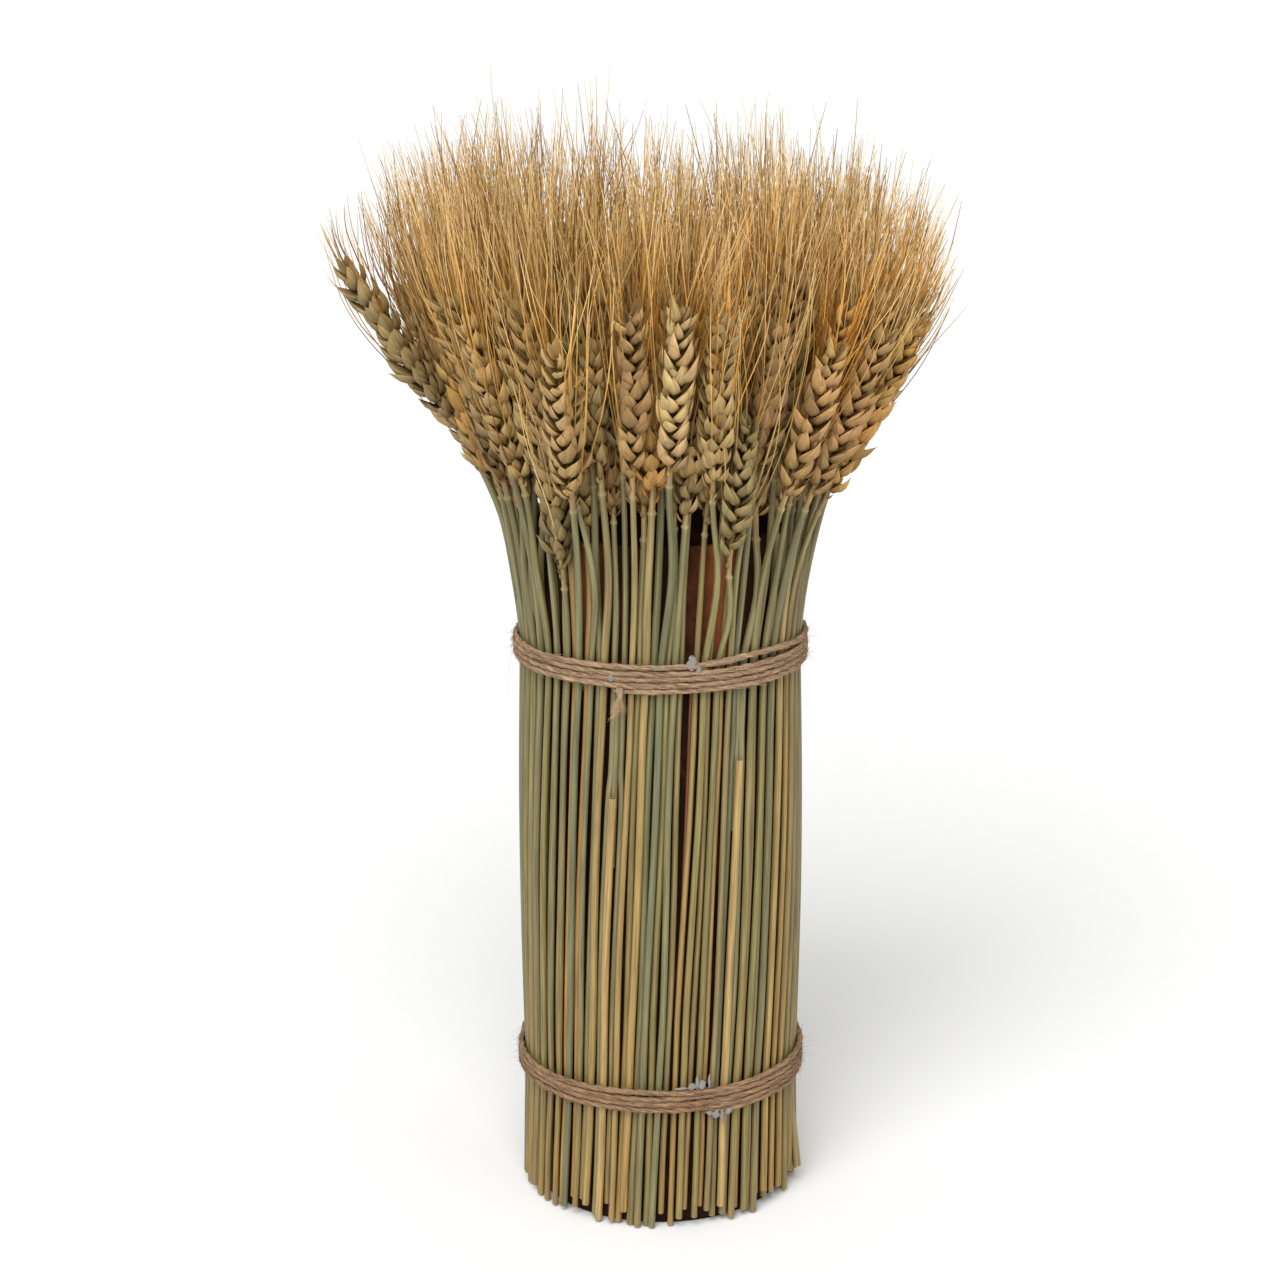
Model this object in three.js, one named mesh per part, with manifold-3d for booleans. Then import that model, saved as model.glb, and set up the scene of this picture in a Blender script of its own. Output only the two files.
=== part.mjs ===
// A standing bundle of dried bearded wheat: one ring of stalks round a rust-coloured tube,
// held by two windings of jute twine. Millimetres, +Z up, origin at the middle of the tube's foot.
import * as THREE from "three";
import { mergeVertices } from "three/addons/utils/BufferGeometryUtils.js";
import Module from "manifold-3d";

const wasm = await Module();
wasm.setup();

// ---- Driving dimensions ----

// The tube that the stalks stand round
const TUBE_RADIUS = 52.3;
const TUBE_WALL = 3;
const TUBE_HEIGHT = 288;
const TUBE_SIDES = 48;

// The ring of places for stalks, counted from the front (-Y) towards +X
const PLACES = 124;
const INNER_RADIUS = 54.2;
const OUTER_RADIUS = 56.2;
const STRAW_RADIUS = 1.5;
const NECK_RADIUS = 1.1; // where the straw meets its ear
const TWIST = THREE.MathUtils.degToRad(9.8); // from the foot to the upper tie
const FOOT_FLARE = 1.1;
const BELLY = 1.3; // how far the straws bow out between the two ties
const RAGGED_FOOT = 8; // the cut ends stop up to this far above the floor
const LOWEST_END = 0.4;
const DRIFT = 0.06; // every stalk's outward slope above the upper tie

// The two ties
const LOWER_TIE = 57;
const UPPER_TIE = 237;
const TWINE_RADIUS = 1.15;
const TWINE_RING = 59.4;
const TWINE_PITCH = 2.5;
const TWINE_TURNS = 4.7;
const TWINE_STEPS = 36;
const TWINE_SIDES = 5;

// The heads
const EAR_RADIUS = 5.3;
const TIP_RADIUS = 2.4;
const FULLEST = 0.3; // of the way up the ear
const EAR_LENGTH = 72;
const AWN_LENGTH = 56; // beyond the ear's tip
const AWN_UPTURN = 0.35; // the awns keep this share of their ear's slope
const AWN_SHORTENING = 3; // how much shorter the awns of a sloping ear are
const BEND_START = 0.2; // of the way from the upper tie to the ear
const LATE_BEND_START = 0.7; // the same for the low heads, whose straws clear the tube's rim first
const STEEPEST = 0.5; // the most that a stalk slopes
const SLIVER = 0.01; // edges shorter than this are merged where a bunch's stalks meet

// Places that hold no whole stalk: a gap that shows the tube, and two straws with no ear
const GAP_PLACE = 4;
const CUT_STRAWS = [
  { name: "cut_straw_right", place: 12, top: 200 },
  { name: "cut_straw_left", place: -6, top: 186 },
];
const STRAY_PLACE = 29; // its foot stands out from the bundle
const STRAY_FLARE = 3.6;

// Four kinds of head take turns round the ring: height of the ear's base, outward slope
const HEAD_KINDS = [
  { base: 313, out: 0.36 },
  { base: 299, out: 0.02, late: true },
  { base: 308, out: 0.2 },
  { base: 323, out: 0.08 },
];

// The heads that stand out at the front: slope out from the axis and sideways towards +X
const FRONT_HEADS = [
  { place: -28, base: 332, length: 72, out: 0.6, side: 0.0 },
  { place: -24, base: 308, length: 72, out: 0.24, side: 0.0 },
  { place: -20, base: 322, length: 68, out: 0.34, side: -0.04 },
  { place: -16, base: 320, length: 70, out: 0.24, side: 0.01 },
  { place: -14, base: 279, length: 56, out: 0.2, side: 0.03 },
  { place: -10, base: 314, length: 74, out: 0.34, side: -0.1 },
  { place: -8, base: 320, length: 52, out: 0.22, side: 0.02 },
  { place: -4, base: 320, length: 72, out: 0.34, side: 0.02 },
  { place: 0, base: 322, length: 72, out: 0.34, side: 0.0 },
  { place: 2, base: 303, length: 60, out: 0.14, side: 0.0 },
  { place: 6, base: 314, length: 78, out: 0.38, side: -0.16 },
  { place: 8, base: 286, length: 60, out: 0.3, side: -0.06 },
  { place: 10, base: 318, length: 64, out: 0.3, side: -0.08 },
  { place: 14, base: 308, length: 66, out: 0.34, side: 0.0 },
  { place: 18, base: 306, length: 72, out: 0.38, side: 0.04 },
  { place: 22, base: 304, length: 76, out: 0.42, side: 0.06 },
  { place: 28, base: 316, length: 70, out: 0.4, side: 0.0 },
];

// Neighbouring stalks are glued together in twos and threes behind the upper tie
const BUNCH_SIZES = [2, 3, 2, 2, 3];
const GLUE = { thickness: 1.6, height: 5, overhang: 0.5 };

// How the heads push each other aside
const SETTLE_STEPS = 160;
const SETTLE_CLEARANCE = 0.9;
const SLICE_STEP = 7;
const SLICE_BOTTOM = 254;
const SLICE_TOP = 450;

// ---- Materials ----

function material(color, roughness) {
  return new THREE.MeshStandardMaterial({ color, roughness, metalness: 0 });
}
const strawColors = [0x9a9168, 0x8d8f6c, 0xa89768, 0x868a6a, 0xb49a62];
const strawLooks = strawColors.map((color) => material(color, 0.7));
const rustBoard = material(0x7c3a20, 0.9);
const juteTwine = material(0xa58a6a, 0.95);
const cutStraw = material(0xc2a566, 0.7);

// ---- The stalks' lines ----

// A number from 0 to 1 that is always the same for the same place and purpose
function chance(place, purpose) {
  const value = Math.sin(place * 12.9898 + purpose * 78.233) * 43758.5453;
  return value - Math.floor(value);
}

function between(low, high, share) {
  return low + (high - low) * share;
}

function placeAngle(place) {
  return (2 * Math.PI * place) / PLACES;
}

// How far from the axis a straw's middle runs at a height
function ringRadius(stalk, z) {
  if (z < LOWER_TIE) return stalk.tieRadius + stalk.flare * (1 - z / LOWER_TIE);
  if (z > UPPER_TIE) return stalk.tieRadius + DRIFT * (z - UPPER_TIE);
  const share = (z - LOWER_TIE) / (UPPER_TIE - LOWER_TIE);
  return stalk.tieRadius + BELLY * Math.sin(Math.PI * share);
}

// How far the stalk's slope has carried it sideways at a height
function reach(stalk, z) {
  const bend = Math.max(0, Math.min(z, stalk.base) - stalk.bendFrom);
  const straight = Math.max(0, Math.min(z, stalk.tip) - stalk.base);
  const upturned = Math.max(0, z - stalk.tip) * AWN_UPTURN;
  return (bend * bend) / (2 * (stalk.base - stalk.bendFrom)) + straight + upturned;
}

// The middle of the stalk at a height
function middle(stalk, z) {
  const angle = placeAngle(stalk.place) + TWIST * (z / UPPER_TIE - 1);
  const radius = ringRadius(stalk, z);
  const carried = reach(stalk, z);
  return new THREE.Vector3(
    radius * Math.sin(angle) + stalk.slopeX * carried,
    -radius * Math.cos(angle) + stalk.slopeY * carried,
    z,
  );
}

// Half the stalk's thickness at a height: straw, then a spindle-shaped ear, then a brush of awns
function thickness(stalk, z) {
  if (z < UPPER_TIE) return STRAW_RADIUS;
  if (z > stalk.top) return 0;
  const risen = (z - UPPER_TIE) / (stalk.base - UPPER_TIE);
  if (risen < 1) return between(STRAW_RADIUS, NECK_RADIUS, risen);
  if (z > stalk.tip) return (TIP_RADIUS * (stalk.top - z)) / (stalk.top - stalk.tip);
  const share = (z - stalk.base) / (stalk.tip - stalk.base);
  if (share < FULLEST) return between(NECK_RADIUS, EAR_RADIUS, share / FULLEST);
  return between(EAR_RADIUS, TIP_RADIUS, (share - FULLEST) / (1 - FULLEST));
}

// ---- Planning the stalks ----

function plainHead(place) {
  const kind = HEAD_KINDS[((place % 4) + 4) % 4];
  return {
    base: kind.base + between(-6, 6, chance(place, 1)),
    length: EAR_LENGTH * between(0.86, 1.06, chance(place, 2)),
    out: kind.out + between(-0.07, 0.07, chance(place, 3)),
    side: between(-0.06, 0.06, chance(place, 4)),
    late: kind.late,
  };
}

function planStalk(place) {
  const front = FRONT_HEADS.find((head) => head.place === place);
  const head = front || plainHead(place);
  const angle = placeAngle(place);
  const steep = Math.hypot(1, head.out, head.side);
  const tip = head.base + head.length / steep;
  const stray = place === STRAY_PLACE ? STRAY_FLARE : 0;
  const awns = AWN_LENGTH * between(0.85, 1.1, chance(place, 6)) * (2 - steep ** AWN_SHORTENING);
  return {
    place,
    held: Boolean(front),
    tieRadius: place % 2 ? INNER_RADIUS : OUTER_RADIUS,
    flare: FOOT_FLARE + stray,
    foot: LOWEST_END + RAGGED_FOOT * chance(place, 5) ** 2,
    bendFrom: between(UPPER_TIE, head.base, head.late ? LATE_BEND_START : BEND_START),
    base: head.base,
    tip,
    top: tip + awns,
    slopeX: head.out * Math.sin(angle) + head.side * Math.cos(angle),
    slopeY: -head.out * Math.cos(angle) + head.side * Math.sin(angle),
  };
}

// A level slice of a stalk: where it would be with no slope, its reach and its thickness
function sliceAt(stalk, z) {
  const upright = middle({ ...stalk, slopeX: 0, slopeY: 0 }, z);
  return { x: upright.x, y: upright.y, carried: reach(stalk, z), thick: thickness(stalk, z) };
}

// Where two stalks come too close in a slice, each takes half of the push, or all of it from a held one
function pushApart(a, b, level) {
  const p = a.slices[level];
  const q = b.slices[level];
  if (!p.thick || !q.thick) return;
  const gapX = p.x + a.slopeX * p.carried - q.x - b.slopeX * q.carried;
  const gapY = p.y + a.slopeY * p.carried - q.y - b.slopeY * q.carried;
  const distance = Math.hypot(gapX, gapY);
  const lack = p.thick + q.thick + SETTLE_CLEARANCE - distance;
  if (lack <= 0) return;
  const push = lack / distance / (a.held || b.held ? 1 : 2);
  a.pushX += push * gapX * p.carried;
  a.pushY += push * gapY * p.carried;
  a.pushed += p.carried ** 2;
  b.pushX -= push * gapX * q.carried;
  b.pushY -= push * gapY * q.carried;
  b.pushed += q.carried ** 2;
}

// A stalk gives way to the pushes on it, as far as the steepest slope
function giveWay(stalk) {
  stalk.slopeX += stalk.pushX / stalk.pushed;
  stalk.slopeY += stalk.pushY / stalk.pushed;
  const kept = Math.min(1, STEEPEST / Math.hypot(stalk.slopeX, stalk.slopeY));
  stalk.slopeX *= kept;
  stalk.slopeY *= kept;
}

// The heads lean aside until none stands inside another; the held ones keep their lean
function settle(stalks) {
  const levels = [];
  for (let z = SLICE_BOTTOM; z <= SLICE_TOP; z += SLICE_STEP) levels.push(z);
  for (const stalk of stalks) stalk.slices = levels.map((z) => sliceAt(stalk, z));
  for (let step = 0; step < SETTLE_STEPS; step += 1) {
    for (const stalk of stalks) Object.assign(stalk, { pushX: 0, pushY: 0, pushed: 1 });
    for (let i = 1; i < stalks.length; i += 1) {
      for (let j = 0; j < i; j += 1) {
        levels.forEach((_, level) => pushApart(stalks[i], stalks[j], level));
      }
    }
    stalks.filter((stalk) => !stalk.held).forEach(giveWay);
  }
}

// ---- Solids ----

// A closed mesh through rings of points, with a flat face or a point at its far end
function loft(rings, point) {
  const sides = rings[0].length;
  const corners = rings.flat();
  const faces = [];
  const last = corners.length - sides;
  for (let ring = 0; ring < rings.length - 1; ring += 1) {
    for (let side = 0; side < sides; side += 1) {
      const a = ring * sides + side;
      const b = ring * sides + ((side + 1) % sides);
      faces.push(a, b, b + sides, a, b + sides, a + sides);
    }
  }
  for (let side = 1; side < sides - 1; side += 1) faces.push(0, side + 1, side);
  for (let side = 0; side < sides; side += 1) {
    if (point) faces.push(last + side, last + ((side + 1) % sides), corners.length);
    else if (side > 0 && side < sides - 1) faces.push(last, last + side, last + side + 1);
  }
  if (point) corners.push(point);
  return new THREE.BufferGeometry().setFromPoints(corners).setIndex(faces);
}

// A level six-sided ring of points round a centre
function levelRing(centre, radius, turn) {
  return [0, 1, 2, 3, 4, 5].map((corner) => {
    const angle = turn + (Math.PI * corner) / 3;
    const offset = new THREE.Vector3(Math.cos(angle), Math.sin(angle), 0);
    return centre.clone().addScaledVector(offset, radius);
  });
}

function strawGeometry(stalk, heights, point) {
  const turn = placeAngle(stalk.place);
  const rings = heights.map((z) => levelRing(middle(stalk, z), thickness(stalk, z), turn));
  return loft(rings, point);
}

// One whole stalk: its straw, its ear and the brush of its awns
function stalkGeometry(stalk) {
  const heights = [
    stalk.foot,
    LOWER_TIE,
    (LOWER_TIE + UPPER_TIE) / 2,
    UPPER_TIE,
    stalk.bendFrom,
    between(UPPER_TIE, stalk.base, 0.6),
    stalk.base,
    between(stalk.base, stalk.tip, FULLEST),
    stalk.tip,
  ];
  return strawGeometry(stalk, heights, middle(stalk, stalk.top));
}

// A straw with no ear, cut off below the upper tie
function cutStrawGeometry(stalk, top) {
  return strawGeometry(stalk, [stalk.foot, LOWER_TIE, (LOWER_TIE + top) / 2, top]);
}

// The glue that joins neighbouring straws behind the upper tie
function glueGeometry(stalks) {
  const first = middle(stalks[0], UPPER_TIE);
  const last = middle(stalks[stalks.length - 1], UPPER_TIE);
  const centre = first.clone().add(last).setZ(0).normalize();
  centre.multiplyScalar((INNER_RADIUS + OUTER_RADIUS) / 2);
  const width = first.distanceTo(last) + 2 * GLUE.overhang;
  return new THREE.BoxGeometry(width, GLUE.thickness, GLUE.height)
    .rotateZ(Math.atan2(centre.x, -centre.y))
    .translate(centre.x, centre.y, UPPER_TIE);
}

// Twine wound round the bundle: a helix of touching turns about a height
function twineGeometry(tieHeight, startAngle) {
  const rings = [];
  const steps = Math.round(TWINE_TURNS * TWINE_STEPS);
  for (let step = 0; step <= steps; step += 1) {
    const turns = step / TWINE_STEPS;
    const angle = startAngle + 2 * Math.PI * turns;
    const z = tieHeight + TWINE_PITCH * (turns - TWINE_TURNS / 2);
    const out = new THREE.Vector3(Math.sin(angle), -Math.cos(angle), 0);
    const ring = [];
    for (let side = 0; side < TWINE_SIDES; side += 1) {
      const around = (2 * Math.PI * side) / TWINE_SIDES;
      const radius = TWINE_RING + TWINE_RADIUS * Math.cos(around);
      ring.push(out.clone().multiplyScalar(radius).setZ(z + TWINE_RADIUS * Math.sin(around)));
    }
    rings.push(ring.reverse());
  }
  return loft(rings);
}

// The open tube with its floor
function tubeGeometry() {
  const inside = TUBE_RADIUS - TUBE_WALL;
  const outline = [
    [0, 0],
    [TUBE_RADIUS, 0],
    [TUBE_RADIUS, TUBE_HEIGHT],
    [inside, TUBE_HEIGHT],
    [inside, TUBE_WALL],
    [0, TUBE_WALL],
  ];
  const points = outline.map(([radius, z]) => new THREE.Vector2(radius, z));
  return welded(new THREE.LatheGeometry(points, TUBE_SIDES).rotateX(Math.PI / 2));
}

// ---- Joining ----

// A three.js shape with the corners that its faces share merged
function welded(shape) {
  const bare = shape.clone();
  bare.deleteAttribute("normal");
  bare.deleteAttribute("uv");
  return mergeVertices(bare);
}

function solidOf(geometry) {
  const vertProperties = new Float32Array(geometry.attributes.position.array);
  const triVerts = new Uint32Array(geometry.index.array);
  return new wasm.Manifold(new wasm.Mesh({ numProp: 3, vertProperties, triVerts }));
}

function geometryOf(solid) {
  const mesh = solid.getMesh();
  return new THREE.BufferGeometry()
    .setAttribute("position", new THREE.BufferAttribute(mesh.vertProperties, 3))
    .setIndex(new THREE.BufferAttribute(mesh.triVerts, 1));
}

function bunchGeometry(stalks) {
  let whole = solidOf(welded(glueGeometry(stalks)));
  for (const stalk of stalks) whole = whole.add(solidOf(stalkGeometry(stalk)));
  return geometryOf(whole.simplify(SLIVER));
}

// ---- The object ----

// The places with a whole stalk, once round from the gap
function stalkPlaces() {
  const cut = CUT_STRAWS.map((straw) => straw.place);
  const places = [];
  for (let step = 1; step < PLACES; step += 1) {
    const place = GAP_PLACE + step;
    const signed = place < PLACES / 2 ? place : place - PLACES;
    if (!cut.includes(signed)) places.push(signed);
  }
  return places;
}

function areNeighbours(a, b) {
  return (b.place - a.place + PLACES) % PLACES === 1;
}

// Neighbouring stalks in turns of two and three; a cut straw between two stalks parts them
function gatherBunches(stalks) {
  const bunches = [];
  for (const stalk of stalks) {
    const bunch = bunches[bunches.length - 1] || [];
    const size = BUNCH_SIZES[(bunches.length - 1) % BUNCH_SIZES.length];
    const joins = bunch.length && bunch.length < size && areNeighbours(bunch[bunch.length - 1], stalk);
    if (joins) bunch.push(stalk);
    else bunches.push([stalk]);
  }
  return bunches;
}

const bundle = new THREE.Group();
bundle.name = "dried_wheat_bundle";

function addPart(name, geometry, look) {
  const mesh = new THREE.Mesh(geometry, look);
  mesh.name = name;
  bundle.add(mesh);
}

const stalks = stalkPlaces().map(planStalk);
settle(stalks);

addPart("core_tube", tubeGeometry(), rustBoard);
addPart("upper_twine", twineGeometry(UPPER_TIE, Math.PI * 1.9), juteTwine);
addPart("lower_twine", twineGeometry(LOWER_TIE, Math.PI * 0.1), juteTwine);
for (const { name, place, top } of CUT_STRAWS) {
  addPart(name, cutStrawGeometry(planStalk(place), top), cutStraw);
}
gatherBunches(stalks).forEach((bunch, index) => {
  const look = strawLooks[index % strawLooks.length];
  addPart(`stalk_bunch_${String(index + 1).padStart(2, "0")}`, bunchGeometry(bunch), look);
});

export default bundle;
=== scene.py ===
"""The looks of a standing bundle of dried bearded wheat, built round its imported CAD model.

Stalks stand in a ring round a rust-coloured tube, held by two windings of jute twine.
The plan of the stalks repeats the CAD's, in millimetres; meshes are made in metres.
"""

import math
from types import SimpleNamespace

import bpy
import numpy as np
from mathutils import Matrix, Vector


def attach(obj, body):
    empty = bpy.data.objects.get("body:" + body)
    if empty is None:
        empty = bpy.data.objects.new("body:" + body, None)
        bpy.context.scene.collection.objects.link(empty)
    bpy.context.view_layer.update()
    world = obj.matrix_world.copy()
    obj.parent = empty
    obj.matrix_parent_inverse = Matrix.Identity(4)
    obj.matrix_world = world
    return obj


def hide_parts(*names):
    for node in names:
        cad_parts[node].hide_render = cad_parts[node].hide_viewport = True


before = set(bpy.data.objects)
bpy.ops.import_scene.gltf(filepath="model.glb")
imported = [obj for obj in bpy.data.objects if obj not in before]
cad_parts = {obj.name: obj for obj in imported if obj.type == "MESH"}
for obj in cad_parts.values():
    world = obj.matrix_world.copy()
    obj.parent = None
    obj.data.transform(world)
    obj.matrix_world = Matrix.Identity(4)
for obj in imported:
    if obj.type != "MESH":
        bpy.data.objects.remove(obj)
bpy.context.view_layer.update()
MM = 0.001
UP = np.array([0.0, 0.0, 1.0])

# ---- Camera, floor and light ----

CAMERA_PLACE = (0.0, -1.1437, 0.5493)
CAMERA_PITCH = 15.22
CAMERA_ANGLE = 24.88
CAMERA_SHIFT = -0.0193
CAMERA_CLIP = (0.01, 100.0)

FLOOR_RADIUS, FLOOR_SIDES, FLOOR_SINK = 14.0, 64, 0.0003
FLOOR_COLOR = (0.97, 0.97, 0.965)
WORLD_STRENGTH = 0.46
BACKDROP_EXTRA = 0.52  # how much brighter the world looks than it shines
SUN_STRENGTH = 2.7
SUN_ANGLE = 46.0  # wide, for the soft shadows of a studio
SUN_PLACE = (-0.3, -1.25, 1.6)
FILL_LIGHT = ((1.5, -1.5, 0.9), 4.0, 1.4)  # place, watts, size
LIGHTS_AIM = (0, 0, 0.24)

# ---- The bundle's plan, as in the CAD ----

TUBE_RADIUS, TUBE_WALL, TUBE_HEIGHT = 52.3, 3.0, 288.0
PLACES = 124
INNER_RADIUS, OUTER_RADIUS = 54.2, 56.2
TWIST = math.radians(9.8)
FOOT_FLARE, BELLY, RAGGED_FOOT, LOWEST_END, DRIFT = 1.1, 1.3, 8.0, 0.4, 0.06
LOWER_TIE, UPPER_TIE = 57.0, 237.0
TWINE_RING, TWINE_PITCH, TWINE_TURNS = 59.4, 2.5, 4.7
STRAW_RADIUS, NECK_RADIUS = 1.5, 1.1
EAR_RADIUS, TIP_RADIUS, FULLEST, EAR_LENGTH = 5.3, 2.4, 0.3, 72.0
AWN_LENGTH, AWN_UPTURN, AWN_SHORTENING = 56.0, 0.35, 3
BEND_START, STEEPEST = 0.2, 0.5
GAP_PLACE = 4
CUT_STRAWS = [("cut_straw_right", 12, 200.0), ("cut_straw_left", -6, 186.0)]
STRAY_PLACE, STRAY_FLARE = 29, 6.2  # it stands out a little more than the CAD's
LATE_BEND_START = 0.7
HEAD_KINDS = [(313, 0.36, 0), (299, 0.02, 1), (308, 0.2, 0), (323, 0.08, 0)]  # base, out, late
FRONT_HEADS = {
    # place: height of the ear's base, its length, its slope out and sideways
    -28: (332, 72, 0.6, 0.0),
    -24: (308, 72, 0.24, 0.0),
    -20: (322, 68, 0.34, -0.04),
    -16: (320, 70, 0.24, 0.01),
    -14: (279, 56, 0.2, 0.03),
    -10: (314, 74, 0.34, -0.1),
    -8: (320, 52, 0.22, 0.02),
    -4: (320, 72, 0.34, 0.02),
    0: (322, 72, 0.34, 0.0),
    2: (303, 60, 0.14, 0.0),
    6: (314, 78, 0.38, -0.16),
    8: (286, 60, 0.3, -0.06),
    10: (318, 64, 0.3, -0.08),
    14: (308, 66, 0.34, 0.0),
    18: (306, 72, 0.38, 0.04),
    22: (304, 76, 0.42, 0.06),
    28: (316, 70, 0.4, 0.0),
}
BUNCH_SIZES = [2, 3, 2, 2, 3]
SETTLE_STEPS, SETTLE_CLEARANCE = 160, 0.9
SLICES = np.arange(254.0, 450.5, 7.0)


def chance(place, purpose):
    """A number from 0 to 1 that is always the same for the same place and purpose."""
    value = math.sin(place * 12.9898 + purpose * 78.233) * 43758.5453
    return value - math.floor(value)


def between(low, high, share):
    return low + (high - low) * share


def place_angle(place):
    return 2 * math.pi * place / PLACES


def ring_radius(stalk, z):
    """How far from the axis a straw's middle runs at each height."""
    share = (z - LOWER_TIE) / (UPPER_TIE - LOWER_TIE)
    belly = BELLY * np.sin(np.pi * np.clip(share, 0, 1))
    flare = stalk.flare * np.maximum(0, 1 - z / LOWER_TIE)
    return stalk.tie_radius + flare + belly + DRIFT * np.maximum(0, z - UPPER_TIE)


def reach(stalk, z):
    """How far the stalk's slope has carried it sideways at each height."""
    bend = np.maximum(0, np.minimum(z, stalk.base) - stalk.bend_from)
    straight = np.maximum(0, np.minimum(z, stalk.tip) - stalk.base)
    upturned = np.maximum(0, z - stalk.tip) * AWN_UPTURN
    return bend**2 / (2 * (stalk.base - stalk.bend_from)) + straight + upturned


def middle(stalk, z):
    """The middle of the stalk at each height."""
    z = np.asarray(z, float)
    angle = place_angle(stalk.place) + TWIST * (z / UPPER_TIE - 1)
    radius, carried = ring_radius(stalk, z), reach(stalk, z)
    x = radius * np.sin(angle) + stalk.slope[0] * carried
    y = -radius * np.cos(angle) + stalk.slope[1] * carried
    return np.stack([x, y, z], -1)


def thickness(stalk, z):
    """Half the thickness that the CAD gives the stalk above the upper tie."""
    heights = [UPPER_TIE, stalk.base, between(stalk.base, stalk.tip, FULLEST)]
    halves = [STRAW_RADIUS, NECK_RADIUS, EAR_RADIUS, TIP_RADIUS, 0]
    return np.interp(z, [*heights, stalk.tip, stalk.top], halves)


def plan_stalk(place):
    kind_base, kind_out, late = HEAD_KINDS[place % 4]
    plain = (
        kind_base + between(-6, 6, chance(place, 1)),
        EAR_LENGTH * between(0.86, 1.06, chance(place, 2)),
        kind_out + between(-0.07, 0.07, chance(place, 3)),
        between(-0.06, 0.06, chance(place, 4)),
    )
    base, length, out, side = FRONT_HEADS.get(place, plain)
    late_bend = late and place not in FRONT_HEADS
    steep = math.sqrt(1 + out**2 + side**2)
    tip = base + length / steep
    awns = AWN_LENGTH * between(0.85, 1.1, chance(place, 6)) * (2 - steep**AWN_SHORTENING)
    angle = place_angle(place)
    outwards = np.array([math.sin(angle), -math.cos(angle)])
    sideways = np.array([math.cos(angle), math.sin(angle)])
    return SimpleNamespace(
        place=place,
        held=place in FRONT_HEADS,
        tie_radius=INNER_RADIUS if place % 2 else OUTER_RADIUS,
        flare=FOOT_FLARE + STRAY_FLARE * (place == STRAY_PLACE),
        foot=LOWEST_END + RAGGED_FOOT * chance(place, 5) ** 2,
        bend_from=between(UPPER_TIE, base, LATE_BEND_START if late_bend else BEND_START),
        base=base,
        tip=tip,
        top=tip + awns,
        length=length,
        slope=out * outwards + side * sideways,
    )


def settle(stalks):
    """The heads lean aside until none stands inside another; the held ones keep their lean."""
    upright = [SimpleNamespace(**{**vars(s), "slope": (0, 0)}) for s in stalks]
    at = np.array([middle(s, SLICES)[:, :2] for s in upright])
    carried = np.array([reach(s, SLICES) for s in stalks])
    thick = np.array([thickness(s, SLICES) for s in stalks])
    held = np.array([s.held for s in stalks])
    slope = np.array([s.slope for s in stalks])
    near = (thick[:, None] > 0) & (thick[None] > 0) & ~np.eye(len(stalks), dtype=bool)[:, :, None]
    room = thick[:, None] + thick[None] + SETTLE_CLEARANCE
    share = np.where(held[:, None] | held[None], 1.0, 0.5)[:, :, None]
    for _ in range(SETTLE_STEPS):
        place = at + slope[:, None] * carried[:, :, None]
        gap = place[:, None] - place[None]
        distance = np.maximum(np.hypot(gap[..., 0], gap[..., 1]), 1e-9)
        lack = np.where(near, room - distance, 0)
        hits = lack > 0
        push = np.where(hits, lack / distance * share, 0)
        moved = ((push[..., None] * gap).sum(1) * carried[:, :, None]).sum(1)
        pushed = 1 + (hits.sum(1) * carried**2).sum(1)
        wanted = slope + moved / pushed[:, None]
        steep = np.hypot(wanted[:, 0], wanted[:, 1])
        wanted *= np.minimum(1, STEEPEST / np.maximum(steep, 1e-9))[:, None]
        slope = np.where(held[:, None], slope, wanted)
    for stalk, found in zip(stalks, slope):
        stalk.slope = found


def stalk_places():
    """The places with a whole stalk, once round from the gap."""
    cut = [place for _, place, _ in CUT_STRAWS]
    places = [p if p < PLACES / 2 else p - PLACES for p in range(GAP_PLACE + 1, GAP_PLACE + PLACES)]
    return [p for p in places if p not in cut]


def gather_bunches(stalks):
    """Neighbouring stalks in turns of two and three; a cut straw between two parts them."""
    bunches = []
    for stalk in stalks:
        bunch = bunches[-1] if bunches else []
        size = BUNCH_SIZES[(len(bunches) - 1) % len(BUNCH_SIZES)]
        if bunch and len(bunch) < size and (stalk.place - bunch[-1].place) % PLACES == 1:
            bunch.append(stalk)
        else:
            bunches.append([stalk])
    return bunches


# ---- Mesh making ----

CAP_ROOM = 0.04  # of a bake cell, kept at each end for the faces that close a loft


def unit(v):
    return v / np.maximum(np.linalg.norm(v, axis=-1, keepdims=True), 1e-12)


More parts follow.
